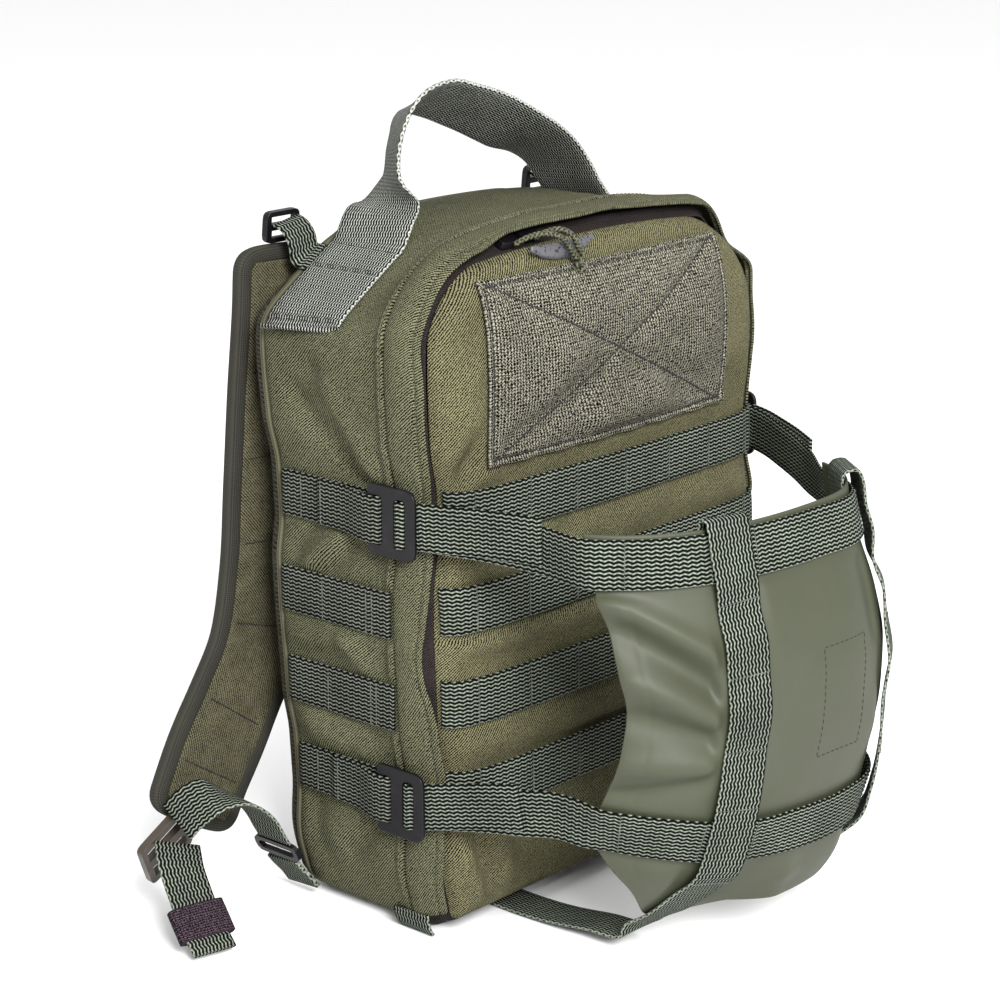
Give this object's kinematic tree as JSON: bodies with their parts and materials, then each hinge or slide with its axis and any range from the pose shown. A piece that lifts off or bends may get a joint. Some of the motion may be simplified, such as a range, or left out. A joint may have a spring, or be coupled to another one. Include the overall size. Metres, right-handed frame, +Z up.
{
  "type": "beavertail backpack",
  "caption": "Small panel-loading backpack with rows of webbing, an arched carry handle, padded shoulder straps and an open sling panel held across its front by straps and flat hooks.",
  "frame": {"origin": "on the flat base, on the body's middle plane", "axes": "+Z up; the front with the sling panel faces -Y and the wearer's back +Y; +X is the wearer's right"},
  "size_m": [0.4816, 0.31, 0.4385],
  "materials": {
    "cloth": "coarse woven nylon, matte",
    "webbing": "dark and light woven nylon webbing",
    "coated": "smooth coated nylon, matte",
    "loop": "knitted loop fastener",
    "binding": "dark grosgrain edge binding",
    "metal": "dark satin",
    "plastic": "dark brown, moulded",
    "zip": "zip tape with coil",
    "keeper": "knitted elastic and loop",
    "grip": "heat-shrunk cord cover",
    "cord": "braided cord"
  },
  "bodies": {
    "root": {"side_gusset": "cloth", "back_pad": "cloth", "front_panel": "cloth", "storm_flap": "cloth", "shoulder_pad_left": "cloth", "shoulder_pad_right": "cloth", "front_web_1": "webbing", "front_web_2": "webbing", "front_web_3": "webbing", "front_web_4": "webbing", "carry_handle": "webbing", "tail_strap_upper": "webbing", "tail_strap_lower": "webbing", "tail_web_left": "webbing", "tail_web_right": "webbing", "hook_strap_upper_left": "webbing", "hook_strap_upper_right": "webbing", "hook_strap_lower_left": "webbing", "hook_strap_lower_right": "webbing", "side_web_upper_left": "webbing", "side_web_upper_right": "webbing", "side_web_lower_left": "webbing", "side_web_lower_right": "webbing", "strap_web_left": "webbing", "strap_web_right": "webbing", "strap_tail_left": "webbing", "strap_tail_right": "webbing", "anchor_web_left": "webbing", "anchor_web_right": "webbing", "lifter_web_left": "webbing", "lifter_web_right": "webbing", "base_loop_left": "webbing", "base_loop_right": "webbing", "tail_panel": "coated", "loop_panel": "loop", "pad_binding_left": "binding", "pad_binding_right": "binding", "hook_upper_left": "metal", "hook_upper_right": "metal", "hook_lower_left": "metal", "hook_lower_right": "metal", "anchor_ring_left": "metal", "anchor_ring_right": "metal", "zip_slider_a": "metal", "zip_slider_b": "metal", "strap_lock_left": "plastic", "strap_lock_right": "plastic", "lifter_lock_left": "plastic", "lifter_lock_right": "plastic", "zip_track": "zip", "strap_keeper_left": "keeper", "strap_keeper_right": "keeper", "zip_grip": "grip", "zip_cord_a": "cord", "zip_cord_b": "cord"}
  },
  "joints": []
}
